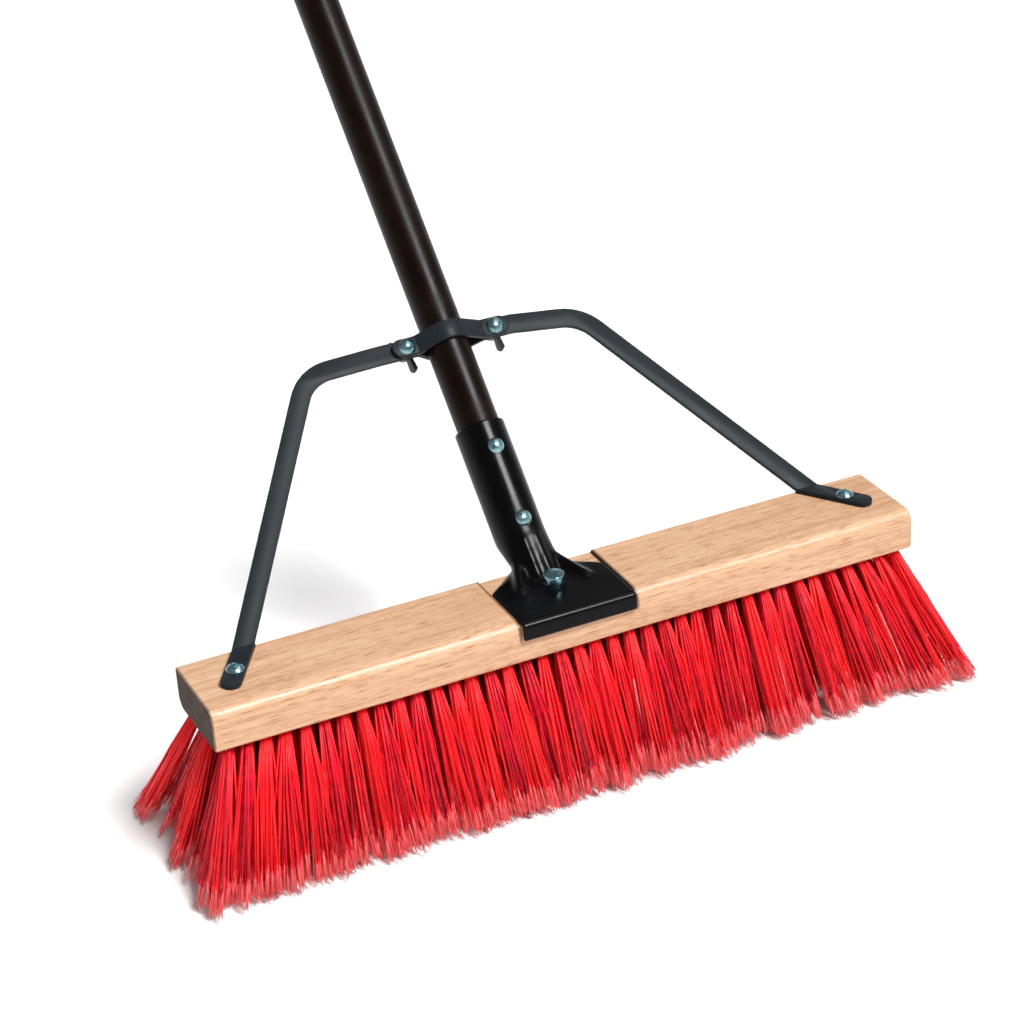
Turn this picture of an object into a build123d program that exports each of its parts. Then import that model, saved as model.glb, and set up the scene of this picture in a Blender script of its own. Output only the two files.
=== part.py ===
from build123d import *
from math import atan2, cos, degrees, hypot, radians, sin, sqrt, tan
import os

os.makedirs("parts", exist_ok=True)

# Push broom. Millimetres. X runs along the head, -Y is the front of the head, +Y the side the
# handle leans to, +Z up. The origin is on the floor plane of the bristle tips, under the middle
# of the head block.

# ---------------------------------------------------------------- driving dimensions
# head block
BLOCK_L = 457.2
BLOCK_W = 60.0
BLOCK_T = 26.0
TRIM = 84.0                       # block underside above the floor
FRONT_EDGE_R = 8.0                # top front and bottom back long edges
BACK_EDGE_R = 2.0                 # top back and bottom front long edges
END_EDGE_R = 0.8
DADO_L = 76.0                     # shallow trench that seats the bracket plate
DADO_DEPTH = 2.2

# tufts
TUFT_PITCH = 11.5
ROW_SPACING = 11.0
TUFTS_PER_LONG_ROW = 39
HOLE_R = 3.1
HOLE_DEPTH = 13.0
TUFT_R = 3.0                      # at the block
TUFT_TIP_R = 4.7                  # after 100 mm of spread
TUFT_REACH = 125.0                # before trimming at the floor plane
LEAN_Y_MAX = 23.0                 # outward lean of the outer rows, degrees
LEAN_X_MAX = 22.0                 # outward lean of the last tufts, degrees
LEAN_X_POWER = 4
STAPLE = (5.0, 1.2, 1.6)
STAPLE_GAP = 0.1

# handle and socket
HANDLE_LEAN = 45.0                # from vertical
HANDLE_R = 13.5
HANDLE_WALL = 1.2
HANDLE_L = 1524.0
HANDLE_START = 14.1               # lower end of the tube, up the axis from the block top plane
SOCKET_Y = 36.8                   # where the axis crosses the block top plane
SOCKET_R = 15.8
SOCKET_BORE_R = 13.6
SOCKET_TOP = 88.0                 # up the axis
SKIRT_TOP = 14.0
SKIRT_FOOT_Y = 19.0               # oval foot of the skirt on the plate
SKIRT_FOOT = (15.0, 9.0)
RIVET_STATIONS = {"lower": 22.3, "upper": 70.3}
RIVET_HEAD_R = 5.0
RIVET_HEAD_H = 2.7
RIVET_TAIL_R = 4.0
RIVET_TAIL_H = 2.0
RIVET_R = 2.4
CAP_R = 14.3
CAP_L = 50.0
CAP_COLLAR_L = 24.0               # round part below the eye
CAP_DOME_R = 10.0
CAP_PLUG_L = 26.0
CAP_EYE_T = 15.0
HANG_R = 4.5
HANG_AT = 36.0                    # from the tube's end

# bracket plate
PLATE_T = 2.6
PLATE_HALF_L = 37.0
PLATE_FRONT = BLOCK_W / 2 + 0.1
PLATE_BEND_Y = 11.0               # where the plate starts to narrow towards the socket
PLATE_REAR_Y = 29.0
PLATE_REAR_HALF_L = 17.0
FLANGE_DROP = 10.7
BEND_R = 2.6                      # to the middle of the sheet
SHEET_T = 2.6
SHOULDER_R = 1.5
SKIRT_LAP = 0.3
SIDE_RIB_R = 3.6
SIDE_RIB_REAR = (12.5, 27.0, 3.0)     # x, y and height from the plate's top
SIDE_RIB_FRONT = (21.5, 3.0, -1.0)
FRONT_RIBS = {-4.6: 1.7, 3.4: 3.3}    # x and radius of the twin ribs
FRONT_RIB_STATION = 11.0          # upper end, on the socket's front
FRONT_RIB_FOOT_Y = 12.5
FRONT_RIB_PROUD = 1.0             # height of a rib above the sheet

# base bolt, M8
BOLT_Y = 3.0
BOLT_R = 4.0
BOLT_AF = 13.0
BOLT_HEAD_H = 5.3
BOLT_TURN = 34.0                  # of the hexagon's corners, from X
BOLT_CROWN = 12.0                 # taper that rounds off the hexagon's top, degrees
BOLT_TIP = 4.5                    # above the block underside
WASHER_R = 6.9
WASHER_T = 1.5
TEE_FLANGE_R = 9.5
TEE_FLANGE_T = 1.5
TEE_BARREL_R = 5.0
TEE_BARREL_L = 11.0
TEE_COUNTERBORE = 2.0

# brace
STRIP_W = 12.0
STRIP_T = 3.0
BRACE_FOOT_Y = 26.0               # fold line on the block top
CLAMP_STATION = 149.0             # up the handle axis
BOW_CORNERS = {-1: (93.0, 1.5), 1: (90.3, 6.1)}     # x and drop from the clamp, left and right
BOW_CORNER_R = 28.0
BOW_FOOT_X = 187.75
FOOT_L = 43.5                     # fold line to the foot's end
FOOT_SCREW_AT = 25.5              # fold line to the screw
CLAMP_BOLTS_X = {-1: -26.3, 1: 33.0}
CLAMP_FLAT_X = 45.0               # half length of the bow's straight middle
STRAP_END = 9.5                   # strap beyond its bolts
SADDLE_SLOPES = (45.0, 33.0)      # left and right sides of a saddle, from the flats
SADDLE_FOOT_R = 3.5               # where a saddle turns out into its flats
CLAMP_BOLT_R = 3.0
CLAMP_HEAD_R = 5.5
CLAMP_HEAD_H = 3.3
CLAMP_BOLT_L = 16.0               # under the head
SADDLE_GAP = 0.05
WING_TIP_R = 12.3
WING_T = 2.4
WING_H = 14.5
WING_TURN = 28.0                  # rest angle of the wings, from the slope of the brace
NUT_GAP = 0.1
NUT_HUB_H = 6.5

# foot screws
SCREW_R = 2.4
SCREW_HEAD_R = 5.6
SCREW_HEAD_H = 3.3
SCREW_DEPTH = 12.4                # into the block
SCREW_POINT_R = 0.6
SCREW_POINT_L = 2.5
RECESS_L = 6.0                    # cross recess
RECESS_W = 1.2
RECESS_DEPTH = 1.8
RECESS_TURN = 30.0

SLIP = 0.05                       # radial room round a shank in its hole
HOLE_ROOM = 0.2                   # radial room in a bolt's clearance hole
BLOCK_TOP = TRIM + BLOCK_T
DADO_FLOOR = BLOCK_TOP - DADO_DEPTH
PLATE_TOP = DADO_FLOOR + PLATE_T
UP = (Align.CENTER, Align.CENTER, Align.MIN)


# ---------------------------------------------------------------- planes shared by the pieces
def socket_point(station, front=0.0, x=0.0):
    """A point at a station up the handle axis, moved by front towards the upper front side."""
    lean = radians(HANDLE_LEAN)
    y = SOCKET_Y + station * sin(lean) - front * cos(lean)
    return Vector(x, y, BLOCK_TOP + station * cos(lean) + front * sin(lean))


def socket_plane(station):
    return Plane(origin=socket_point(station), x_dir=(1, 0, 0), z_dir=handle_dir)


handle_dir = Vector(0, sin(radians(HANDLE_LEAN)), cos(radians(HANDLE_LEAN)))
front_dir = Vector(0, -cos(radians(HANDLE_LEAN)), sin(radians(HANDLE_LEAN)))

# The brace is flat: its front face holds the fold line of the feet and meets the handle axis at
# the clamp. slope_dir runs up the face and brace_normal points out of it, to the front.
clamp_centre = socket_point(CLAMP_STATION)
rise_y = clamp_centre.Y - BRACE_FOOT_Y
rise_z = clamp_centre.Z - (BLOCK_TOP + STRIP_T)
BRACE_RISE = hypot(rise_y, rise_z)
brace_lean = atan2(rise_y, rise_z)
slope_dir = Vector(0, sin(brace_lean), cos(brace_lean))
brace_normal = Vector(0, -cos(brace_lean), sin(brace_lean))
brace_plane = Plane(origin=clamp_centre, x_dir=(1, 0, 0), z_dir=brace_normal)
clamp_section = Plane(origin=clamp_centre, x_dir=(1, 0, 0), z_dir=slope_dir)


def arm_heading(side):
    """Outward and downward shares of the arm from a bow corner to the fold line."""
    corner_x, drop = BOW_CORNERS[side]
    length = hypot(BOW_FOOT_X - corner_x, BRACE_RISE - drop)
    return (BOW_FOOT_X - corner_x) / length, (BRACE_RISE - drop) / length


def foot_point(side, along):
    """A point on the foot's centre line, measured from the fold line: a fold keeps the arm's angle."""
    outward, forward = arm_heading(side)
    return (side * (BOW_FOOT_X + along * outward), BRACE_FOOT_Y - along * forward)


# ---------------------------------------------------------------- tuft layout
def tuft_roots(row):
    """Root points of row 0 (front) to 4 (back). Every other row is shifted by half a pitch."""
    y = (row - 2) * ROW_SPACING
    count = TUFTS_PER_LONG_ROW - row % 2
    roots = [((i - (count - 1) / 2) * TUFT_PITCH, y) for i in range(count)]
    clear = TEE_FLANGE_R + HOLE_R + 1.0
    return [(x, y) for x, y in roots if hypot(x, y - BOLT_Y) > clear]


def tuft_plane(x, y):
    """Plane at a tuft's root, with its normal running down along the tuft."""
    end = 2 * x / ((TUFTS_PER_LONG_ROW - 1) * TUFT_PITCH)
    lean_x = LEAN_X_MAX * abs(end) ** LEAN_X_POWER * (1 if x > 0 else -1)
    lean_y = LEAN_Y_MAX * y / (2 * ROW_SPACING)
    down = Vector(tan(radians(lean_x)), tan(radians(lean_y)), -1)
    return Plane(origin=(x, y, TRIM), x_dir=Vector(1, 0, 0) - down * (down.X / down.dot(down)), z_dir=down)


ROW_NAMES = ["tufts_front", "tufts_mid_front", "tufts_middle", "tufts_mid_back", "tufts_back"]
tuft_planes = {name: [tuft_plane(*p) for p in tuft_roots(row)] for row, name in enumerate(ROW_NAMES)}
all_tuft_planes = [plane for planes in tuft_planes.values() for plane in planes]

# ---------------------------------------------------------------- head block
screw_points = [foot_point(side, FOOT_SCREW_AT) for side in (-1, 1)]

with BuildPart() as head_block:
    with Locations((0, 0, TRIM)):
        Box(BLOCK_L, BLOCK_W, BLOCK_T, align=UP)
    fillet(head_block.edges().filter_by(Axis.X).filter_by(
        lambda e: (e.center().Y < 0) == (e.center().Z > TRIM + BLOCK_T / 2)), FRONT_EDGE_R)
    fillet(head_block.edges().filter_by(Axis.X).filter_by(
        lambda e: abs(abs(e.center().Y) - BLOCK_W / 2) < 0.01
        and min(abs(e.center().Z - TRIM), abs(e.center().Z - BLOCK_TOP)) < 0.01), BACK_EDGE_R)
    ends = head_block.faces().filter_by(Plane.YZ)
    chamfer(ends.edges(), END_EDGE_R)
    # trench under the bracket plate
    with Locations((0, 0, DADO_FLOOR)):
        Box(DADO_L, 2 * BLOCK_W, BLOCK_T, align=UP, mode=Mode.SUBTRACT)
    # base bolt and tee nut
    with Locations((0, BOLT_Y, TRIM)):
        Cylinder(BOLT_R + SLIP, BLOCK_T, align=UP, mode=Mode.SUBTRACT)
        Cylinder(TEE_BARREL_R + SLIP, TEE_COUNTERBORE + TEE_BARREL_L, align=UP, mode=Mode.SUBTRACT)
        Cylinder(TEE_FLANGE_R + SLIP, TEE_COUNTERBORE, align=UP, mode=Mode.SUBTRACT)
    # pilot holes of the foot screws
    with Locations(*[(x, y, BLOCK_TOP - SCREW_DEPTH - SLIP) for x, y in screw_points]):
        Cylinder(SCREW_R + SLIP, SCREW_DEPTH + BLOCK_T, align=UP, mode=Mode.SUBTRACT)
    # blind tuft holes, one per tuft, each along its tuft
    with Locations(*[plane.offset(-HOLE_DEPTH).location for plane in all_tuft_planes]):
        Cylinder(HOLE_R, 2 * HOLE_DEPTH, align=UP, mode=Mode.SUBTRACT)
head_block.part.label = "head_block"
export_step(head_block.part, "parts/head_block.step")

# ---------------------------------------------------------------- tufts and their staples
STAPLE_ROOM = STAPLE[2] + 2 * STAPLE_GAP

with BuildPart() as single_tuft:
    with BuildSketch(Plane.XZ):
        with BuildLine():
            Polyline((0, STAPLE_ROOM - HOLE_DEPTH), (TUFT_R, STAPLE_ROOM - HOLE_DEPTH), (TUFT_R, 0),
                     (TUFT_TIP_R, TUFT_REACH), (0, TUFT_REACH), close=True)
        make_face()
    revolve(axis=Axis.Z)

for row_name, planes in tuft_planes.items():
    with BuildPart() as tuft_row:
        with Locations(*[plane.location for plane in planes]):
            add(single_tuft.part)
        split(bisect_by=Plane.XY, keep=Keep.TOP)
    tuft_row.part.label = row_name
    export_step(tuft_row.part, f"parts/{row_name}.step")

with BuildPart() as tuft_staples:
    with Locations(*[plane.offset(STAPLE_GAP - HOLE_DEPTH).location for plane in all_tuft_planes]):
        Box(*STAPLE, align=UP)
tuft_staples.part.label = "tuft_staples"
export_step(tuft_staples.part, "parts/tuft_staples.step")

# ---------------------------------------------------------------- socket bracket
# Pressed steel: a plate with a front flange, narrowing to the rear, drawn up into a round socket.
def rib(start, end, radius):
    """A pressed rib: a round bar with a ball at each end."""
    run = end - start
    with BuildPart() as bar:
        with Locations(Plane(origin=start, z_dir=run).location):
            Cylinder(radius, run.length, align=UP)
        with Locations(start, end):
            Sphere(radius)
    return bar.part


with BuildPart() as skirt_hollow:
    with BuildSketch(Plane.XY.offset(DADO_FLOOR - SLIP)):
        with Locations((0, SKIRT_FOOT_Y)):
            Ellipse(SKIRT_FOOT[0] - SHEET_T, SKIRT_FOOT[1] - SHEET_T)
    with BuildSketch(socket_plane(SKIRT_TOP + SLIP)):
        Circle(SOCKET_R - SHEET_T)
    loft()

with BuildPart() as skirt:
    with BuildSketch(Plane.XY.offset(DADO_FLOOR)):
        with Locations((0, SKIRT_FOOT_Y)):
            Ellipse(*SKIRT_FOOT)
    with BuildSketch(socket_plane(SKIRT_TOP)):
        Circle(SOCKET_R)
    loft()
    add(skirt_hollow.part, mode=Mode.SUBTRACT)

with BuildPart() as socket_bracket:
    # plate with its front flange
    sheet_mid = PLATE_TOP - PLATE_T / 2
    front_mid = -PLATE_FRONT - PLATE_T / 2
    with BuildSketch(Plane.YZ):
        with BuildLine():
            FilletPolyline((PLATE_REAR_Y, sheet_mid), (front_mid, sheet_mid),
                           (front_mid, BLOCK_TOP - FLANGE_DROP), radius=BEND_R)
        trace(line_width=PLATE_T)
    extrude(amount=PLATE_HALF_L, both=True)
    with BuildSketch(Plane.XY.offset(TRIM)) as plate_outline:
        with BuildLine():
            Polyline((-PLATE_HALF_L, -BLOCK_W), (PLATE_HALF_L, -BLOCK_W), (PLATE_HALF_L, PLATE_BEND_Y),
                     (PLATE_REAR_HALF_L, PLATE_REAR_Y), (-PLATE_REAR_HALF_L, PLATE_REAR_Y),
                     (-PLATE_HALF_L, PLATE_BEND_Y), close=True)
        make_face()
        shoulders = plate_outline.vertices().filter_by(lambda v: abs(v.Y - PLATE_BEND_Y) < SLIP)
        fillet(shoulders, SHOULDER_R)
    extrude(amount=2 * BLOCK_T, mode=Mode.INTERSECT)
    # the plate is open under the skirt
    with BuildSketch(Plane.XY.offset(TRIM)):
        with Locations((0, SKIRT_FOOT_Y)):
            Ellipse(SKIRT_FOOT[0] - SHEET_T - SKIRT_LAP, SKIRT_FOOT[1] - SHEET_T - SKIRT_LAP)
    extrude(amount=2 * BLOCK_T, mode=Mode.SUBTRACT)
    add(skirt.part)
    # round socket
    with BuildSketch(socket_plane(SKIRT_TOP)):
        Circle(SOCKET_R)
        Circle(SOCKET_BORE_R, mode=Mode.SUBTRACT)
    extrude(amount=SOCKET_TOP - SKIRT_TOP)
    for side in (-1, 1):
        # side ribs run forward from the skirt on both sides of the bolt
        add(rib(Vector(side * SIDE_RIB_REAR[0], SIDE_RIB_REAR[1], PLATE_TOP + SIDE_RIB_REAR[2]),
                Vector(side * SIDE_RIB_FRONT[0], SIDE_RIB_FRONT[1], PLATE_TOP + SIDE_RIB_FRONT[2]),
                SIDE_RIB_R))
    # twin ribs from the socket's front down to the plate
    for rib_x, rib_r in FRONT_RIBS.items():
        add(rib(socket_point(FRONT_RIB_STATION, SOCKET_R + FRONT_RIB_PROUD - rib_r, rib_x),
                Vector(rib_x, FRONT_RIB_FOOT_Y, PLATE_TOP + FRONT_RIB_PROUD - rib_r), rib_r))
    # ribs are pressed in the sheet: nothing stands below the plate
    with Locations((0, 0, DADO_FLOOR)):
        Box(3 * PLATE_HALF_L, 2 * PLATE_REAR_Y, FRONT_EDGE_R, mode=Mode.SUBTRACT,
            align=(Align.CENTER, Align.CENTER, Align.MAX))
    # bolt hole and rivet holes
    with Locations((0, BOLT_Y, TRIM)):
        Cylinder(BOLT_R + HOLE_ROOM, 2 * BLOCK_T, align=UP, mode=Mode.SUBTRACT)
    for station in RIVET_STATIONS.values():
        with Locations(Plane(origin=socket_point(station), z_dir=front_dir).location):
            Cylinder(RIVET_R + SLIP, 3 * SOCKET_R, mode=Mode.SUBTRACT)
socket_bracket.part.label = "socket_bracket"
export_step(socket_bracket.part, "parts/socket_bracket.step")

# ---------------------------------------------------------------- base bolt, washer, tee nut
with BuildPart() as base_bolt:
    with BuildSketch(Plane.XY.offset(PLATE_TOP + WASHER_T)):
        with Locations((0, BOLT_Y)):
            RegularPolygon(radius=BOLT_AF / 2, side_count=6, major_radius=False, rotation=BOLT_TURN)
    extrude(amount=BOLT_HEAD_H)
    with BuildSketch(Plane.XY.offset(PLATE_TOP + WASHER_T)):
        with Locations((0, BOLT_Y)):
            Circle(BOLT_AF / 2 / cos(radians(30)) - 0.1)
    extrude(amount=BOLT_HEAD_H, taper=BOLT_CROWN, mode=Mode.INTERSECT)
    with BuildSketch(Plane.XY.offset(TRIM + BOLT_TIP)):
        with Locations((0, BOLT_Y)):
            Circle(BOLT_R)
    extrude(until=Until.NEXT)
    chamfer(base_bolt.faces().sort_by(Axis.Z)[0].edges(), 0.8)
base_bolt.part.label = "base_bolt"
export_step(base_bolt.part, "parts/base_bolt.step")

with BuildPart() as base_washer:
    with BuildSketch(Plane.XY.offset(PLATE_TOP)):
        with Locations((0, BOLT_Y)):
            Circle(WASHER_R)
            Circle(BOLT_R + 2 * SLIP, mode=Mode.SUBTRACT)
            # split of a spring washer
            with Locations((WASHER_R, 0)):
                Rectangle(WASHER_R, 0.8, mode=Mode.SUBTRACT)
    extrude(amount=WASHER_T)
base_washer.part.label = "base_washer"
export_step(base_washer.part, "parts/base_washer.step")

with BuildPart() as tee_nut:
    flange_bottom = TRIM + TEE_COUNTERBORE - TEE_FLANGE_T
    with BuildSketch(Plane.XY.offset(flange_bottom)):
        with Locations((0, BOLT_Y)):
            Circle(TEE_FLANGE_R)
    extrude(amount=TEE_FLANGE_T)
    with BuildSketch(Plane.XY.offset(flange_bottom)):
        with Locations((0, BOLT_Y)):
            Circle(TEE_BARREL_R)
    extrude(amount=TEE_FLANGE_T + TEE_BARREL_L - SLIP)
    with Locations((0, BOLT_Y, flange_bottom)):
        Cylinder(BOLT_R + SLIP, 2 * TEE_BARREL_L, align=UP, mode=Mode.SUBTRACT)
tee_nut.part.label = "tee_nut"
export_step(tee_nut.part, "parts/tee_nut.step")

# ---------------------------------------------------------------- handle tube and its cap
with BuildPart() as handle_tube:
    with BuildSketch(socket_plane(HANDLE_START)):
        Circle(HANDLE_R)
        Circle(HANDLE_R - HANDLE_WALL, mode=Mode.SUBTRACT)
    extrude(amount=HANDLE_L)
    for station in RIVET_STATIONS.values():
        with Locations(Plane(origin=socket_point(station), z_dir=front_dir).location):
            Cylinder(RIVET_R + SLIP, 3 * HANDLE_R, mode=Mode.SUBTRACT)
handle_tube.part.label = "handle_tube"
export_step(handle_tube.part, "parts/handle_tube.step")

with BuildPart() as handle_cap:
    tube_end = HANDLE_START + HANDLE_L
    with BuildSketch(socket_plane(tube_end + SLIP)):
        Circle(CAP_R)
    extrude(amount=CAP_L)
    fillet(handle_cap.faces().sort_by(Axis.Z)[-1].edges(), CAP_DOME_R)
    # flats either side of the hanging eye
    for side in (-1, 1):
        with Locations(socket_plane(tube_end + SLIP + CAP_COLLAR_L).location):
            with Locations((side * (CAP_EYE_T / 2 + CAP_R), 0, 0)):
                Box(2 * CAP_R, 3 * CAP_R, CAP_L, align=UP, mode=Mode.SUBTRACT)
    # spigot inside the tube
    with BuildSketch(socket_plane(tube_end + SLIP)):
        Circle(HANDLE_R - HANDLE_WALL - SLIP)
    extrude(amount=-CAP_PLUG_L)
    with Locations(Plane(origin=socket_point(tube_end + HANG_AT), z_dir=(1, 0, 0)).location):
        Cylinder(HANG_R, 3 * CAP_R, mode=Mode.SUBTRACT)
handle_cap.part.label = "handle_cap"
export_step(handle_cap.part, "parts/handle_cap.step")


# ---------------------------------------------------------------- rivets
RIM = 0.3                         # upright edge of a domed head
RIVET_SINK = 1.4                  # underside of a rivet's head, below the socket's highest line
RIVET_BED = 0.02                  # between a rivet's head and the socket wall


def domed_fastener(radius, height, sink, shank_r, shank_l):
    """A domed head on a shank, along Z, seated at 0 with the head's underside sunk by sink."""
    rise = height - RIM
    crown_r = (radius ** 2 + rise ** 2) / (2 * rise)
    mid_height = height - crown_r + sqrt(crown_r ** 2 - (radius / 2) ** 2)
    with BuildPart() as fastener:
        with BuildSketch(Plane.XZ):
            with BuildLine():
                Polyline((0, height), (0, -shank_l), (shank_r, -shank_l), (shank_r, -sink),
                         (radius, -sink), (radius, RIM))
                ThreePointArc((radius, RIM), (radius / 2, mid_height), (0, height))
            make_face()
        revolve(axis=Axis.Z)
    return fastener.part


for place, station in RIVET_STATIONS.items():
    with BuildPart() as rivet:
        with Locations(Plane(origin=socket_point(station, SOCKET_R), z_dir=front_dir).location):
            add(domed_fastener(RIVET_HEAD_R, RIVET_HEAD_H, RIVET_SINK, RIVET_R, SOCKET_R))
        # formed tail behind the socket
        with Locations(Plane(origin=socket_point(station, -SOCKET_R), z_dir=-front_dir).location):
            add(domed_fastener(RIVET_TAIL_R, RIVET_TAIL_H, RIVET_SINK, RIVET_R, SOCKET_R))
        # the head and the tail bed on the socket's round wall
        with BuildSketch(socket_plane(station - SOCKET_R)):
            Circle(SOCKET_R + RIVET_BED)
        extrude(amount=2 * SOCKET_R, mode=Mode.SUBTRACT)
        with Locations(Plane(origin=socket_point(station), z_dir=front_dir).location):
            Cylinder(RIVET_R, 2 * SOCKET_R + RIM)
    rivet.part.label = f"socket_rivet_{place}"
    export_step(rivet.part, f"parts/socket_rivet_{place}.step")

# ---------------------------------------------------------------- brace
saddle_r = HANDLE_R + SADDLE_GAP
HALF_STRIP = STRIP_W / 2
UNCUT = 0.5                       # left in a saddle for the handle's own cylinder to cut
ARM_OVERRUN = 1.2                 # arms are drawn past the fold, then split there
FOOT_OVERRUN = 20.0
fold_bisector = (brace_normal + Vector(0, 0, 1)).normalized()
fold_plane = Plane(origin=(0, BRACE_FOOT_Y, BLOCK_TOP + STRIP_T), x_dir=(1, 0, 0),
                   z_dir=Vector(1, 0, 0).cross(fold_bisector))


def saddle_section(left, right, back):
    """Section across the strip at the clamp: two flats and an arched saddle between them.

    back is +1 where the saddle goes behind the handle and -1 where it goes in front."""
    flat = STRIP_T / 2
    crest = saddle_r - UNCUT + flat
    crown = [crest * tan(radians(slope / 2)) for slope in SADDLE_SLOPES]
    foot = [x + (crest - flat) / tan(radians(slope)) for x, slope in zip(crown, SADDLE_SLOPES)]
    with BuildSketch() as section:
        with BuildLine():
            FilletPolyline((left, back * flat), (-foot[0], back * flat), (-crown[0], back * crest),
                           (crown[1], back * crest), (foot[1], back * flat), (right, back * flat),
                           radius=(SADDLE_FOOT_R, crest - SLIP, crest - SLIP, SADDLE_FOOT_R))
        trace(line_width=STRIP_T)
    return section.sketch


# the handle's own cylinder, taken out of both clamp parts
with BuildPart() as handle_cut:
    with BuildSketch(socket_plane(CLAMP_STATION - 4 * HANDLE_R)):
        Circle(saddle_r)
    extrude(amount=8 * HANDLE_R)


with BuildPart() as brace_bow:
    # arms and shoulders, flat in the brace plane
    for side, (corner_x, drop) in BOW_CORNERS.items():
        outward, downward = arm_heading(side)
        reach = ARM_OVERRUN * (BRACE_RISE - drop) / downward
        with BuildSketch(brace_plane):
            with BuildLine():
                FilletPolyline((side * (CLAMP_FLAT_X - 5), 0), (side * CLAMP_FLAT_X, 0),
                               (side * corner_x, -drop),
                               (side * (corner_x + reach * outward), -drop - reach * downward),
                               radius=BOW_CORNER_R)
            trace(line_width=STRIP_W)
        extrude(amount=-STRIP_T)
    split(bisect_by=fold_plane, keep=Keep.BOTTOM)
    # saddle behind the handle
    with BuildSketch(clamp_section):
        add(saddle_section(-CLAMP_FLAT_X, CLAMP_FLAT_X, 1))
    extrude(amount=HALF_STRIP, both=True)
    add(handle_cut.part, mode=Mode.SUBTRACT)

with BuildPart() as feet:
    for side in BOW_CORNERS:
        outward, forward = arm_heading(side)
        foot_heading = degrees(atan2(-forward, side * outward))
        with BuildSketch(Plane.XY.offset(BLOCK_TOP)):
            with Locations(foot_point(side, (FOOT_L - FOOT_OVERRUN) / 2)):
                SlotOverall(FOOT_L + FOOT_OVERRUN, STRIP_W, rotation=foot_heading)
        extrude(amount=STRIP_T)
    split(bisect_by=fold_plane, keep=Keep.TOP)
    with Locations(*[(x, y, BLOCK_TOP) for x, y in screw_points]):
        Cylinder(SCREW_R + 2 * HOLE_ROOM, 4 * STRIP_T, mode=Mode.SUBTRACT)

bolt_places = [(x, 0, 0) for x in CLAMP_BOLTS_X.values()]
with brace_bow:
    add(feet.part)
    with Locations(brace_plane):
        with Locations(*bolt_places):
            Cylinder(CLAMP_BOLT_R + HOLE_ROOM, 4 * STRIP_T, mode=Mode.SUBTRACT)
brace_bow.part.label = "brace_bow"
export_step(brace_bow.part, "parts/brace_bow.step")

with BuildPart() as clamp_strap:
    strap_left = CLAMP_BOLTS_X[-1] - STRAP_END
    strap_right = CLAMP_BOLTS_X[1] + STRAP_END
    with BuildSketch(clamp_section):
        add(saddle_section(strap_left, strap_right, -1))
    extrude(amount=HALF_STRIP, both=True)
    with BuildSketch(brace_plane):
        with Locations(((strap_left + strap_right) / 2, 0)):
            SlotOverall(strap_right - strap_left, STRIP_W)
    extrude(amount=2 * HANDLE_R, mode=Mode.INTERSECT)
    add(handle_cut.part, mode=Mode.SUBTRACT)
    with Locations(brace_plane):
        with Locations(*bolt_places):
            Cylinder(CLAMP_BOLT_R + HOLE_ROOM, 4 * STRIP_T, mode=Mode.SUBTRACT)
clamp_strap.part.label = "clamp_strap"
export_step(clamp_strap.part, "parts/clamp_strap.step")

# ---------------------------------------------------------------- clamp bolts and wing nuts
for place, side in (("left", -1), ("right", 1)):
    seat = clamp_centre + Vector(CLAMP_BOLTS_X[side], 0, 0) + brace_normal * STRIP_T
    with BuildPart() as clamp_bolt:
        with Locations(Plane(origin=seat, z_dir=brace_normal).location):
            add(domed_fastener(CLAMP_HEAD_R, CLAMP_HEAD_H, 0, CLAMP_BOLT_R, CLAMP_BOLT_L))
    clamp_bolt.part.label = f"clamp_bolt_{place}"
    export_step(clamp_bolt.part, f"parts/clamp_bolt_{place}.step")

    nut_seat = seat - brace_normal * (2 * STRIP_T + NUT_GAP)
    turn = radians(WING_TURN)
    wing_dir = Vector(1, 0, 0) * sin(turn) - slope_dir * cos(turn)
    wing_plane = Plane(origin=nut_seat, x_dir=wing_dir, z_dir=wing_dir.cross(-brace_normal))
    with BuildPart() as wing_nut:
        with BuildSketch(wing_plane):
            for hand in (-1, 1):
                with BuildLine():
                    Polyline((0, 1.0), (hand * 5.2, 1.2), (hand * (WING_TIP_R - 0.4), 7.0),
                             (hand * WING_TIP_R, 11.0), (hand * (WING_TIP_R - 2.6), WING_H),
                             (hand * (WING_TIP_R - 6.2), 9.6), (hand * 4.0, NUT_HUB_H),
                             (0, NUT_HUB_H), close=True)
                make_face()
        extrude(amount=WING_T / 2, both=True)
        rounded = wing_nut.edges().filter_by(Axis(nut_seat, wing_plane.z_dir)).filter_by(
            lambda e: abs((e.center() - nut_seat).dot(wing_dir)) > 7.5)
        fillet(rounded, 1.5)
        with Locations(Plane(origin=nut_seat, z_dir=-brace_normal).location):
            Cone(6.2, 4.7, NUT_HUB_H, align=UP)
            Cylinder(CLAMP_BOLT_R + SLIP, 3 * NUT_HUB_H, mode=Mode.SUBTRACT)
    wing_nut.part.label = f"wing_nut_{place}"
    export_step(wing_nut.part, f"parts/wing_nut_{place}.step")

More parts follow.
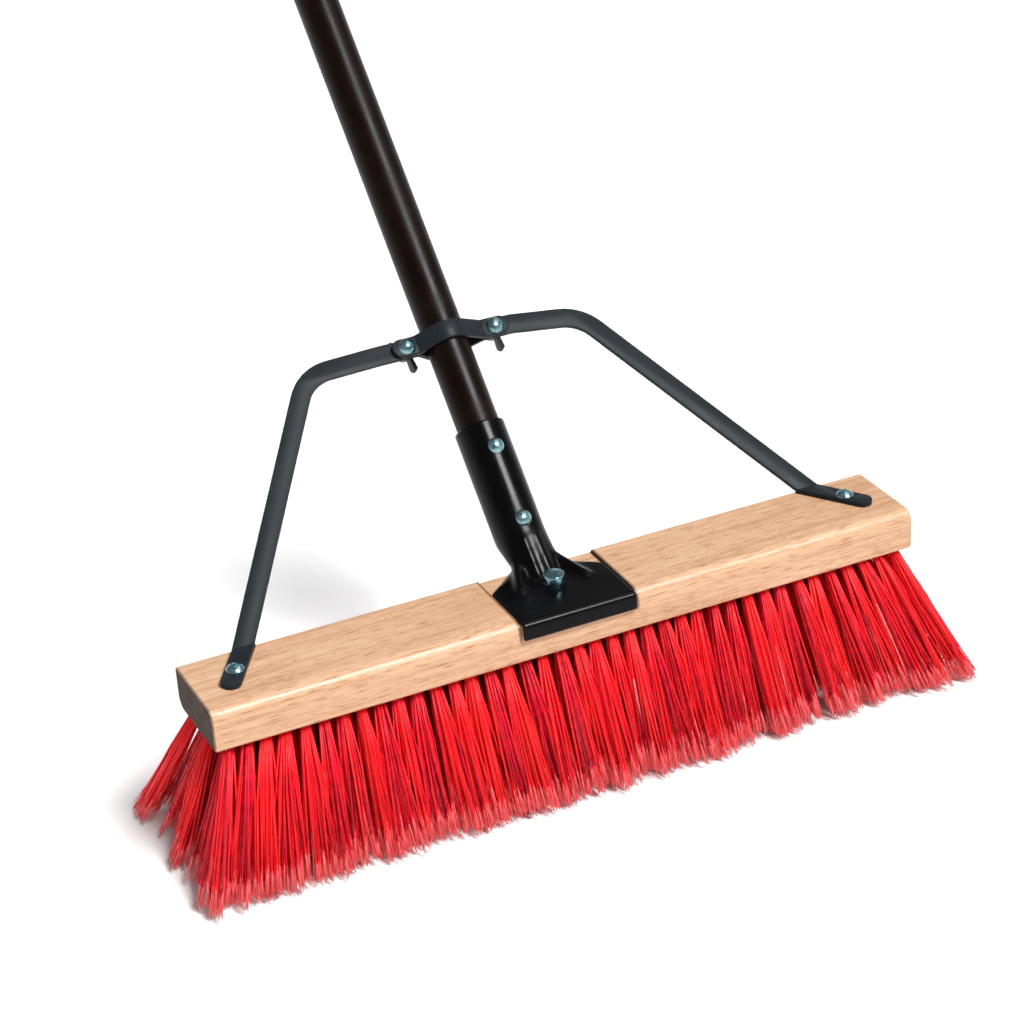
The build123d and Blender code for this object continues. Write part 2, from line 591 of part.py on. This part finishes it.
# ---------------------------------------------------------------- foot screws
for place, (x, y) in zip(("left", "right"), screw_points):
    head_seat = BLOCK_TOP + STRIP_T
    with BuildPart() as foot_screw:
        with Locations((x, y, head_seat)):
            add(domed_fastener(SCREW_HEAD_R, SCREW_HEAD_H, 0, SCREW_R,
                               STRIP_T + SCREW_DEPTH - SCREW_POINT_L))
        with Locations((x, y, BLOCK_TOP - SCREW_DEPTH)):
            Cone(SCREW_POINT_R, SCREW_R, SCREW_POINT_L, align=UP)
        with Locations((x, y, head_seat + SCREW_HEAD_H)):
            for quarter in (0, 90):
                Box(RECESS_L, RECESS_W, 2 * RECESS_DEPTH, rotation=(0, 0, RECESS_TURN + quarter),
                    mode=Mode.SUBTRACT)
    foot_screw.part.label = f"foot_screw_{place}"
    export_step(foot_screw.part, f"parts/foot_screw_{place}.step")
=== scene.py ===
import math
import random

import bmesh
import bpy
import numpy as np
from mathutils import Matrix, Vector


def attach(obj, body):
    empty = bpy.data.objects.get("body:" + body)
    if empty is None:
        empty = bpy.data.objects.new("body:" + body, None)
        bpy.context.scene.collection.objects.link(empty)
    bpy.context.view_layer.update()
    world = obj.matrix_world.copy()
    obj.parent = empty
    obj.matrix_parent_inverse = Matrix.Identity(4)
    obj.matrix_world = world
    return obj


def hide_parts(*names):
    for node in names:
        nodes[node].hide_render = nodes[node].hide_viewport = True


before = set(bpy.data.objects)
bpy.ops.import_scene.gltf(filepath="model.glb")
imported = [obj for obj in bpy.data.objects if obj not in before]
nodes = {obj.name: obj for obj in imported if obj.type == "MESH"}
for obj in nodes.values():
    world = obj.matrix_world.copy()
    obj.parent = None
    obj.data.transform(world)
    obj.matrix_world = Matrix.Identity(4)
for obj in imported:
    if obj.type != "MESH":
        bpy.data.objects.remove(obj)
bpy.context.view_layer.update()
MM = 0.001

# ---------------------------------------------------------------- sizes shared with the CAD, metres
TRIM = 84 * MM                      # block underside above the floor
PLATE_TOP = (84 + 26 - 2.2 + 2.6) * MM      # trim, block, trench and plate
TUFT_PITCH = 11.5 * MM
ROW_SPACING = 11.0 * MM
TUFTS_PER_LONG_ROW = 39
MIDDLE_ROW = 2
LEAN_Y_MAX = 23.0                   # degrees, of the outer rows
LEAN_X_MAX = 22.0                   # degrees, of the tufts at the block's ends
LEAN_X_POWER = 4
BOLT_Y = 3 * MM
DADO_HALF_L = 38 * MM
BOLT_CLEAR = 13.6 * MM              # no tufts nearer than this to the base bolt
ROW_NAMES = ["tufts_front", "tufts_mid_front", "tufts_middle", "tufts_mid_back", "tufts_back"]


# ---------------------------------------------------------------- node helpers
def span_node(tree, factor, low, high, from_low, from_high):
    """Maps a factor from one range to another."""
    r = tree.nodes.new("ShaderNodeMapRange")
    for key, value in (("From Min", from_low), ("From Max", from_high),
                       ("To Min", low), ("To Max", high)):
        r.inputs[key].default_value = value
    tree.links.new(factor, r.inputs["Value"])
    return r.outputs["Result"]


class Mat:
    """A material made from nodes, with short calls for the ones used here."""

    def __init__(self, name, rough, metallic=0.0, specular=0.5):
        self.m = bpy.data.materials.new(name)
        self.m.use_nodes = True
        self.t = self.m.node_tree
        self.b = self.t.nodes["Principled BSDF"]
        self.b.inputs["Roughness"].default_value = rough
        self.b.inputs["Metallic"].default_value = metallic
        self.b.inputs["Specular IOR Level"].default_value = specular

    def node(self, kind):
        return self.t.nodes.new(kind)

    def link(self, a, b):
        self.t.links.new(a, b)

    def math(self, operation, *values):
        """A Math node; each value is a socket or a number."""
        n = self.node("ShaderNodeMath")
        n.operation = operation
        for value, entry in zip(values, n.inputs):
            if isinstance(value, bpy.types.NodeSocket):
                self.link(value, entry)
            else:
                entry.default_value = value
        return n.outputs[0]

    def split(self, vector):
        n = self.node("ShaderNodeSeparateXYZ")
        self.link(vector, n.inputs[0])
        return n.outputs

    def coords(self, scale=(1, 1, 1), rotate=(0, 0, 0)):
        tc = self.node("ShaderNodeTexCoord")
        mp = self.node("ShaderNodeMapping")
        mp.inputs["Scale"].default_value = scale
        mp.inputs["Rotation"].default_value = rotate
        self.link(tc.outputs["Object"], mp.inputs["Vector"])
        return mp.outputs["Vector"]

    def noise(self, vector, scale, detail=4.0, rough=0.55, distortion=0.0):
        n = self.node("ShaderNodeTexNoise")
        n.inputs["Scale"].default_value = scale
        n.inputs["Detail"].default_value = detail
        n.inputs["Roughness"].default_value = rough
        n.inputs["Distortion"].default_value = distortion
        self.link(vector, n.inputs["Vector"])
        return n.outputs["Fac"]

    def ramp(self, factor, stops):
        r = self.node("ShaderNodeValToRGB")
        elements = r.color_ramp.elements
        while len(elements) < len(stops):
            elements.new(0.5)
        for element, (position, tint) in zip(elements, stops):
            element.position = position
            element.color = (*tint, 1)
        self.link(factor, r.inputs["Fac"])
        return r.outputs["Color"]

    def span(self, factor, low, high, from_low=0.0, from_high=1.0):
        return span_node(self.t, factor, low, high, from_low, from_high)

    def mix(self, factor, a, b, mode="MIX"):
        n = self.node("ShaderNodeMix")
        n.data_type = "RGBA"
        n.blend_type = mode
        # inputs 0, 6 and 7 are the factor and the two colours, output 2 is their mix
        for value, index in ((factor, 0), (a, 6), (b, 7)):
            if isinstance(value, bpy.types.NodeSocket):
                self.link(value, n.inputs[index])
            elif index == 0:
                n.inputs[0].default_value = value
            else:
                n.inputs[index].default_value = (*value, 1)
        return n.outputs[2]

    def bump(self, height, strength, distance):
        n = self.node("ShaderNodeBump")
        n.inputs["Strength"].default_value = strength
        n.inputs["Distance"].default_value = distance
        self.link(height, n.inputs["Height"])
        self.link(n.outputs["Normal"], self.b.inputs["Normal"])

    def color(self, socket):
        self.link(socket, self.b.inputs["Base Color"])

    def roughness(self, socket):
        self.link(socket, self.b.inputs["Roughness"])


EDGE_LINE_OFFSET = 0.3 * MM             # the middle of the dark line, outside the trench
EDGE_LINE_CORE = 0.6 * MM
EDGE_LINE_FADE = 1.4 * MM


def wood_material():
    """Clear-varnished pinkish hardwood: faint straight grain along X and short fine pores."""
    w = Mat("varnished_wood", rough=0.34, specular=0.34)
    broad = w.noise(w.coords((2.6, 15, 15)), 1.0, 3, 0.5, 0.8)
    streak = w.noise(w.coords((9, 260, 260)), 1.0, 4, 0.6, 0.2)
    pores = w.noise(w.coords((75, 1300, 1300)), 1.0, 2, 0.5)
    figure = w.noise(w.coords((11, 36, 36)), 1.0, 4, 0.6, 2.2)
    base = w.ramp(streak, [(0.25, (0.51, 0.290, 0.160)), (0.50, (0.655, 0.410, 0.252)),
                           (0.75, (0.735, 0.488, 0.318))])
    tone = w.ramp(broad, [(0.30, (0.84, 0.77, 0.72)), (0.65, (1.0, 1.0, 1.0))])
    body = w.mix(0.7, base, tone, "MULTIPLY")
    veins = w.ramp(figure, [(0.480, (1, 1, 1)), (0.50, (0.84, 0.74, 0.64)), (0.520, (1, 1, 1))])
    body = w.mix(0.65, body, veins, "MULTIPLY")
    flecks = w.ramp(pores, [(0.34, (0.55, 0.38, 0.28)), (0.45, (1, 1, 1))])
    body = w.mix(0.75, body, flecks, "MULTIPLY")
    # a dark brown line on the block's top along both sawn edges of the bracket's trench
    x, _, z = w.split(w.coords())
    off_edge = w.math("ABSOLUTE", w.math("SUBTRACT", w.math("ABSOLUTE", x), DADO_HALF_L + EDGE_LINE_OFFSET))
    near_top = w.span(z, 0.0, 1.0, TRIM + 12 * MM, TRIM + 16 * MM)
    edge_line = w.math("MULTIPLY", w.span(off_edge, 0.8, 0.0, EDGE_LINE_CORE, EDGE_LINE_FADE), near_top)
    body = w.mix(edge_line, body, (0.10, 0.042, 0.018))
    # end grain is darker and greyer, and both ends carry painted shade that darkens them further
    facing = w.split(w.node("ShaderNodeNewGeometry").outputs["Normal"])[0]
    end = w.span(w.math("ABSOLUTE", facing), 0.0, 1.0, 0.55, 0.85)
    rings = w.noise(w.coords((60, 60, 240), (0.35, 0, 0)), 1.0, 4, 0.6, 1.2)
    end_grain_and_shade = w.ramp(rings, [(0.35, (0.050, 0.035, 0.027)), (0.62, (0.092, 0.066, 0.050))])
    w.color(w.mix(end, body, end_grain_and_shade))
    w.roughness(w.math("MAXIMUM", w.span(streak, 0.27, 0.40), w.span(end, 0.0, 0.95)))
    w.bump(pores, 0.10, 0.0004)
    return w.m


ROUGHNESS_SPREAD = 0.06


def enamel_material(name, tint, rough, grain, bump, specular):
    """Black paint on steel with fine orange peel and slight wear."""
    p = Mat(name, rough=rough, specular=specular)
    cloud = p.noise(p.coords(), 38.0, 4, 0.6)
    peel = p.noise(p.coords(), grain, 2, 0.5)
    worn = tuple(c * 1.5 + 0.001 for c in tint)
    p.color(p.ramp(cloud, [(0.30, tint), (0.75, worn)]))
    p.roughness(p.span(cloud, rough - ROUGHNESS_SPREAD, rough + ROUGHNESS_SPREAD, 0.3, 0.7))
    p.bump(peel, bump, 0.0003)
    return p.m


def zinc_material():
    """Zinc-plated steel with a faint spangle."""
    z = Mat("zinc_steel", rough=0.24, metallic=1.0)
    cloud = z.noise(z.coords(), 260.0, 5, 0.65)
    fine = z.noise(z.coords(), 1600.0, 3, 0.6)
    z.color(z.ramp(cloud, [(0.28, (0.08, 0.20, 0.24)), (0.52, (0.24, 0.42, 0.47)),
                           (0.75, (0.52, 0.66, 0.69))]))
    z.roughness(z.span(cloud, 0.16, 0.34, 0.3, 0.7))
    z.bump(fine, 0.10, 0.0002)
    return z.m


def bristle_material(name, dark, light, rough=0.42):
    """Extruded filament: one red that drifts a little from place to place."""
    f = Mat(name, rough=rough, specular=0.28)
    drift = f.noise(f.coords(), 210.0, 3, 0.6)
    f.color(f.ramp(drift, [(0.30, dark), (0.70, light)]))
    return f.m


def plastic_material():
    """Moulded black plastic with a fine grain."""
    p = Mat("black_plastic", rough=0.48, specular=0.45)
    grain = p.noise(p.coords(), 1400.0, 3, 0.6)
    cloud = p.noise(p.coords(), 60.0, 3, 0.5)
    p.color(p.ramp(cloud, [(0.3, (0.012, 0.012, 0.013)), (0.7, (0.024, 0.024, 0.025))]))
    p.bump(grain, 0.25, 0.0003)
    return p.m


WOOD = wood_material()
BRACKET = enamel_material("black_enamel", (0.0005, 0.0005, 0.0008), rough=0.23, grain=700.0,
                          bump=0.05, specular=0.13)
HANDLE = enamel_material("handle_coat", (0.0040, 0.0011, 0.0005), rough=0.34, grain=1300.0,
                         bump=0.05, specular=0.12)
BRACE = enamel_material("brace_coat", (0.0110, 0.0145, 0.0180), rough=0.42, grain=1000.0,
                        bump=0.10, specular=0.10)
BLACK_ZINC = enamel_material("black_zinc", (0.0060, 0.0062, 0.0070), rough=0.36, grain=1100.0,
                             bump=0.10, specular=0.3)
ZINC = zinc_material()
PLASTIC = plastic_material()
REDS = [
    bristle_material("bristle_red", (0.86, 0.005, 0.012), (0.97, 0.012, 0.022)),
    bristle_material("bristle_crimson", (0.38, 0.001, 0.012), (0.80, 0.004, 0.030)),
    bristle_material("bristle_scarlet", (0.95, 0.012, 0.014), (1.0, 0.030, 0.028)),
    bristle_material("bristle_tip", (0.93, 0.090, 0.100), (1.0, 0.170, 0.175), 0.7),
    bristle_material("bristle_pale", (0.88, 0.110, 0.115), (0.98, 0.260, 0.240), 0.6),
]
TIP_SLOT = 3
PALE_SLOT = 4


def own(node, material):
    """Gives a CAD node its material."""
    mesh = nodes[node].data
    mesh.materials.clear()
    mesh.materials.append(material)


def new_object(name, mesh, materials, body, replaced):
    """A visual piece on a body, in place of the CAD nodes named."""
    obj = bpy.data.objects.new(name, mesh)
    bpy.context.scene.collection.objects.link(obj)
    for material in materials:
        mesh.materials.append(material)
    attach(obj, body)
    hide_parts(*replaced)
    return obj


# ---------------------------------------------------------------- bristles
SIDES = 5                           # of a filament
FIBRE_SIDES = 3
FILAMENTS = 50                      # per tuft
FIBRES = 4                          # fine ends of each filament
FILAMENT_R = 0.66 * MM
TIP_R = 0.58 * MM
FIBRE_R = 0.40 * MM
FIBRE_TAPER = 0.55
FLAG_L = 17 * MM
END_REACH = 257 * MM                # the outermost tips stay within this of the middle
LOWEST_TIP = 0.0002
GOLDEN_ANGLE = 2.39996
BUNDLE_R = 2.45                     # mm, of a tuft where it enters the block
ROOT_DEPTH = 5                      # mm, of the filaments inside the block
DROP = 82                           # mm, from the block to where a tuft's spread is set
SPREAD = (5.8, 8.4)                 # mm, of a tuft at its tips
SWING = (2.3, 1.4)                  # mm, scatter of a whole tuft at its tips
FAN = (0.9, 1.3)                    # how much more or less than that a tuft opens
JITTER = (2.2, 1.8)                 # mm, scatter of one filament's tip
LOOSE_JITTER = 1.6                  # mm more of it at the ends of the block
LOOSE_POWER = 3                     # how fast it grows towards them
TRIM_STEP = 2.2                     # mm, unevenness from tuft to tuft
TRIM_SCATTER = 1.6                  # mm, unevenness of the trimmed ends in one tuft
SHORT_SHARE = 0.07                  # of the filaments stop well short of the floor
SHORT_BY = (4, 14)                  # mm
HELD_SCATTER = 4                    # mm, of tips held back to END_REACH
FLAG_RANGE = (0.7, 1.3)             # of FLAG_L
BOW_OUT = (-0.8, 1.5)               # mm, sideways curve of a filament
BOW_SIDE = 0.6                      # mm
BOW_SWING = (0.0, 0.3)
RED_SHARE = 0.25                    # of the filaments of the darkest tufts
RED_MORE = 0.5                      # more of them in the lightest
CRIMSON_BELOW = 0.75                # the rest are scarlet
STRAY_SHARE = 0.015                 # of the filaments are pale
FIBRE_OVERLAP = 1.2                 # mm, of a fibre inside its filament
FIBRE_OFFSET = 0.18                 # mm, of its start from the filament's axis
FIBRE_SHORT = 0.25                  # of the flag, at most missing from a fibre
FIBRE_FRAY = (0.4, 1.7)             # mm, of its end from the axis
FIBRE_BEND = (0.12, 0.4)            # where along its length it starts to thin
SEED = 410


def tuft_roots(row):
    y = (row - MIDDLE_ROW) * ROW_SPACING
    count = TUFTS_PER_LONG_ROW - row % 2
    roots = [((i - (count - 1) / 2) * TUFT_PITCH, y) for i in range(count)]
    return [(x, y) for x, y in roots if math.hypot(x, y - BOLT_Y) > BOLT_CLEAR]


def tuft_direction(x, y):
    end = 2 * x / ((TUFTS_PER_LONG_ROW - 1) * TUFT_PITCH)
    lean_x = math.radians(LEAN_X_MAX * abs(end) ** LEAN_X_POWER * (1 if x > 0 else -1))
    lean_y = math.radians(LEAN_Y_MAX * y / (MIDDLE_ROW * ROW_SPACING))
    return Vector((math.tan(lean_x), math.tan(lean_y), -1)).normalized()


def sides_of(direction):
    side = Vector((1, 0, 0)) - direction * direction.x
    side.normalize()
    return side, direction.cross(side)


class MeshLists:
    """Vertices, faces and face materials of one piece while it grows."""

    def __init__(self):
        self.v, self.f, self.m = [], [], []

    def tube(self, centres, radii, sides, slots, twist):
        """A closed tube through the centres, with a material slot for each length."""
        side, other = sides_of((centres[-1] - centres[0]).normalized())
        rings = []
        for centre, radius in zip(centres, radii):
            ring = []
            for k in range(sides):
                a = twist + 2 * math.pi * k / sides
                ring.append(len(self.v))
                self.v.append(centre + (side * math.cos(a) + other * math.sin(a)) * radius)
            rings.append(ring)
        self.f.append(rings[0][::-1])
        self.m.append(slots[0])
        for a, b, slot in zip(rings, rings[1:], slots):
            for k in range(sides):
                n = (k + 1) % sides
                self.f.append((a[k], a[n], b[n], b[k]))
                self.m.append(slot)
        self.f.append(rings[-1])
        self.m.append(slots[-1])

    def mesh(self, name):
        mesh = bpy.data.meshes.new(name)
        mesh.from_pydata([tuple(v) for v in self.v], [], self.f)
        mesh.polygons.foreach_set("material_index", self.m)
        mesh.update()
        mesh.shade_smooth()
        return mesh


def grow_tuft(lists, root, rng):
    direction = tuft_direction(*root)
    side, other = sides_of(direction)
    # the staple never sets two bundles quite alike
    swing = side * rng.gauss(0, SWING[0]) * MM + other * rng.gauss(0, SWING[1]) * MM
    origin = Vector((root[0], root[1], TRIM))
    shade = rng.random()
    fan = rng.uniform(*FAN)
    trim_here = rng.uniform(0.0, TRIM_STEP) * MM
    loose = min(1.0, abs(root[0]) / (0.5 * TUFTS_PER_LONG_ROW * TUFT_PITCH)) ** LOOSE_POWER
    for i in range(FILAMENTS):
        # sunflower packing keeps the bundle even
        r = math.sqrt((i + 0.5) / FILAMENTS)
        a = i * GOLDEN_ANGLE + shade * 6
        out = side * math.cos(a) + other * math.sin(a)
        base = origin - direction * ROOT_DEPTH * MM + out * r * BUNDLE_R * MM
        jitter = (side * rng.gauss(0, JITTER[0] + LOOSE_JITTER * loose) * MM
                  + other * rng.gauss(0, JITTER[1]) * MM)
        reach = DROP * MM / -direction.z
        spread = out * r * rng.uniform(*SPREAD) * fan * MM + jitter + swing
        aim = (origin + direction * reach + spread) - base
        tip_z = trim_here + abs(rng.gauss(0, TRIM_SCATTER)) * MM
        if rng.random() < SHORT_SHARE:
            tip_z += rng.uniform(*SHORT_BY) * MM
        aim *= (base.z - tip_z) / -aim.z
        beyond = abs(base.x + aim.x) - END_REACH
        if beyond > 0:
            aim.x -= math.copysign(beyond + abs(rng.gauss(0, HELD_SCATTER)) * MM, aim.x)
        flag = FLAG_L * rng.uniform(*FLAG_RANGE)
        length = aim.length
        bow = (out * rng.uniform(*BOW_OUT) * MM + side * rng.gauss(0, BOW_SIDE) * MM
               + swing * rng.uniform(*BOW_SWING))
        neck = base + aim * (1 - flag / length)
        middle = base + aim * 0.5 * (1 - flag / length) + bow
        # redder or darker tufts, with a few odd filaments in each
        pick = rng.random()
        tone = 0 if pick < RED_SHARE + RED_MORE * shade else (1 if pick < CRIMSON_BELOW else 2)
        low = PALE_SLOT if rng.random() < STRAY_SHARE else tone
        lists.tube([base, middle, neck], [FILAMENT_R, FILAMENT_R, TIP_R], SIDES, [tone, low],
                   rng.uniform(0, 1.5))
        heading = aim.normalized()
        for _ in range(FIBRES):
            b = rng.uniform(0, 2 * math.pi)
            away = side * math.cos(b) + other * math.sin(b)
            start = neck - heading * FIBRE_OVERLAP * MM + away * FIBRE_OFFSET * MM
            end = (base + aim * (1 - rng.uniform(0.0, FIBRE_SHORT) * flag / length)
                   + away * rng.uniform(*FIBRE_FRAY) * MM)
            end.z = max(end.z, LOWEST_TIP)
            lists.tube([start, start.lerp(end, rng.uniform(*FIBRE_BEND)), end],
                       [FIBRE_R, FIBRE_R, FIBRE_R * FIBRE_TAPER], FIBRE_SIDES,
                       [low, TIP_SLOT], rng.uniform(0, 2))


for row, row_name in enumerate(ROW_NAMES):
    rng = random.Random(SEED + row)
    lists = MeshLists()
    for root in tuft_roots(row):
        grow_tuft(lists, root, rng)
    name = row_name.replace("tufts", "bristles")
    new_object(name, lists.mesh(name), REDS, "broom", [row_name])


# ---------------------------------------------------------------- softened steel pieces
WELD = 2e-6
FLAT_ANGLE = math.radians(0.6)
BEVEL_ANGLE = math.radians(32)      # edges sharper than this are rounded
SHARP_ANGLE = math.radians(40)
VOXEL = 0.85 * MM
SMOOTH_STEPS = 26
ALL_OVER_STEPS = 5                  # the first of them work on the whole bracket
PULL_ALL_OVER = 0.12
PULL_IN_CORNERS = 0.5
CORNER_HALF_X = 30 * MM             # the ribs and the socket's foot lie inside these
CORNER_Y = (-5 * MM, 56 * MM)


def clean_copy(node):
    """The CAD node's mesh, welded and with flat areas as single faces."""
    b = bmesh.new()
    b.from_mesh(nodes[node].data)
    bmesh.ops.remove_doubles(b, verts=b.verts, dist=WELD)
    bmesh.ops.dissolve_limit(b, angle_limit=FLAT_ANGLE, verts=b.verts, edges=b.edges)
    mesh = bpy.data.meshes.new(node + "_soft")
    b.to_mesh(mesh)
    b.free()
    return mesh


def apply_modifiers(obj):
    bpy.context.view_layer.update()
    shaped = bpy.data.meshes.new_from_object(obj.evaluated_get(bpy.context.evaluated_depsgraph_get()))
    obj.modifiers.clear()
    obj.data = shaped


def rounded(node, material, width, segments=2, body="broom"):
    """A CAD node with its sharp edges rounded over."""
    piece = new_object(node + "_rounded", clean_copy(node), [material], body, [node])
    bevel = piece.modifiers.new("bevel", "BEVEL")
    bevel.width = width
    bevel.segments = segments
    bevel.limit_method = "ANGLE"
    bevel.angle_limit = BEVEL_ANGLE
    bevel.use_clamp_overlap = True
    apply_modifiers(piece)
    piece.data.shade_smooth()
    piece.data.set_sharp_from_angle(angle=SHARP_ANGLE)


def rise(values, start, run):
    """0 up to start, then evenly up to 1 over run; a negative run falls instead."""
    return np.clip((values - start) / run, 0, 1)


def corner_weights(co):
    """1 over the ribs and the socket's foot, 0 on the plate's faces and outline."""
    x, y, z = co.T
    return (rise(np.abs(x), CORNER_HALF_X, -5 * MM) * rise(y, CORNER_Y[0], 6 * MM)
            * rise(y, CORNER_Y[1], -8 * MM) * rise(z, PLATE_TOP - 0.9 * MM, 0.6 * MM))


def pressed_bracket():
    """The bracket as pressed sheet: corners between the plate, ribs and socket run into soft fillets."""
    piece = new_object("socket_bracket_pressed", clean_copy("socket_bracket"), [BRACKET], "broom",
                       ["socket_bracket"])
    remesh = piece.modifiers.new("remesh", "REMESH")
    remesh.mode = "VOXEL"
    remesh.voxel_size = VOXEL
    apply_modifiers(piece)
    mesh = piece.data
    co = np.empty(len(mesh.vertices) * 3)
    mesh.vertices.foreach_get("co", co)
    co = co.reshape(-1, 3)
    edges = np.empty(len(mesh.edges) * 2, int)
    mesh.edges.foreach_get("vertices", edges)
    edges = edges.reshape(-1, 2)
    degree = np.bincount(edges.ravel(), minlength=len(co)).astype(float)[:, None]
    near = corner_weights(co)[:, None]
    for step in range(SMOOTH_STEPS):
        total = np.zeros_like(co)
        np.add.at(total, edges[:, 0], co[edges[:, 1]])
        np.add.at(total, edges[:, 1], co[edges[:, 0]])
        weight = PULL_IN_CORNERS * near + (PULL_ALL_OVER if step < ALL_OVER_STEPS else 0)
        co = co + (total / degree - co) * weight
    mesh.vertices.foreach_set("co", co.ravel())
    mesh.update()
    mesh.shade_smooth()


pressed_bracket()
rounded("brace_bow", BRACE, 0.55 * MM)
rounded("clamp_strap", BRACE, 0.5 * MM)
rounded("base_bolt", ZINC, 0.35 * MM)
for place in ("left", "right"):
    rounded(f"wing_nut_{place}", BLACK_ZINC, 0.45 * MM, body=f"wing_nut_{place}")
    rounded(f"foot_screw_{place}", ZINC, 0.15 * MM, segments=1)
    own(f"clamp_bolt_{place}", ZINC)
for place in ("lower", "upper"):
    own(f"socket_rivet_{place}", ZINC)
for node in ("base_washer", "tee_nut", "tuft_staples"):
    own(node, ZINC)
own("head_block", WOOD)
own("handle_tube", HANDLE)
own("handle_cap", PLASTIC)


# ---------------------------------------------------------------- floor, light, camera
FLOOR_HALF = 60.0
FLOOR_STEPS = 24
FLOOR_Z = -0.0006                   # just clear of the bristle tips
KEY_POWER = 3.9
KEY_SOFTNESS = math.radians(20)
KEY_HEADING = Vector((-0.26, 0.49, -0.83))
WIDE_POWER = 16
WIDE_PLACE = Vector((1.6, 0.4, 3.0))
WIDE_TARGET = Vector((0, 0, 0.1))
WIDE_SIZE = 2.2
HORIZON = (0.10, 0.96)              # height of the view direction, and brightness there
OVERHEAD = (0.42, 0.22)


def floor():
    b = bmesh.new()
    places = [-FLOOR_HALF + 2 * FLOOR_HALF * i / FLOOR_STEPS for i in range(FLOOR_STEPS + 1)]
    grid = [[b.verts.new((x, y, FLOOR_Z)) for y in places] for x in places]
    for i in range(FLOOR_STEPS):
        for j in range(FLOOR_STEPS):
            b.faces.new((grid[i][j], grid[i + 1][j], grid[i + 1][j + 1], grid[i][j + 1]))
    mesh = bpy.data.meshes.new("floor")
    b.to_mesh(mesh)
    b.free()
    obj = bpy.data.objects.new("floor", mesh)
    bpy.context.scene.collection.objects.link(obj)
    m = Mat("floor_paint", rough=0.9, specular=0.1)
    cloud = m.noise(m.coords(), 1.5, 2, 0.5)
    m.color(m.ramp(cloud, [(0.3, (0.94, 0.94, 0.94)), (0.7, (0.96, 0.96, 0.96))]))
    mesh.materials.append(m.m)


def light(name, kind, power, heading):
    """A lamp that shines along the heading; returns the object."""
    data = bpy.data.lights.new(name, kind)
    data.energy = power
    obj = bpy.data.objects.new(name, data)
    bpy.context.scene.collection.objects.link(obj)
    obj.rotation_euler = heading.to_track_quat("-Z", "Y").to_euler()
    return obj


floor()
light("key", "SUN", KEY_POWER, KEY_HEADING).data.angle = KEY_SOFTNESS
wide = light("wide", "AREA", WIDE_POWER, WIDE_TARGET - WIDE_PLACE)
wide.location = WIDE_PLACE
wide.data.shape = "RECTANGLE"
wide.data.size = wide.data.size_y = WIDE_SIZE

# pale round the horizon, dimmer overhead, so that dark paint stays dark
world = bpy.data.worlds.new("studio")
bpy.context.scene.world = world
world.use_nodes = True
sky = world.node_tree
direction = sky.nodes.new("ShaderNodeTexCoord")
height = sky.nodes.new("ShaderNodeSeparateXYZ")
sky.links.new(direction.outputs["Generated"], height.inputs[0])
brightness = span_node(sky, height.outputs["Z"], HORIZON[1], OVERHEAD[1], HORIZON[0], OVERHEAD[0])
sky.links.new(brightness, sky.nodes["Background"].inputs["Strength"])
sky.nodes["Background"].inputs["Color"].default_value = (1, 1, 1, 1)

CAMERA_PLACE = Vector((-0.60415, -1.29933, 0.91902))
CAMERA_RIGHT = Vector((0.899907, -0.432581, -0.055143))
CAMERA_DOWN = Vector((-0.246799, -0.400960, -0.882225))
SENSOR = 36.0
LENS = 97.77                        # mm, on that sensor
camera_data = bpy.data.cameras.new("camera")
camera_data.lens = LENS
camera_data.sensor_width = SENSOR
camera_data.clip_start = 0.05
camera_data.clip_end = 60.0
camera = bpy.data.objects.new("camera", camera_data)
bpy.context.scene.collection.objects.link(camera)
forward = CAMERA_RIGHT.cross(CAMERA_DOWN)
camera.matrix_world = Matrix.Translation(CAMERA_PLACE) @ Matrix(
    (CAMERA_RIGHT, -CAMERA_DOWN, -forward)).transposed().to_4x4()
bpy.context.scene.camera = camera
bpy.context.scene.view_settings.view_transform = "Standard"
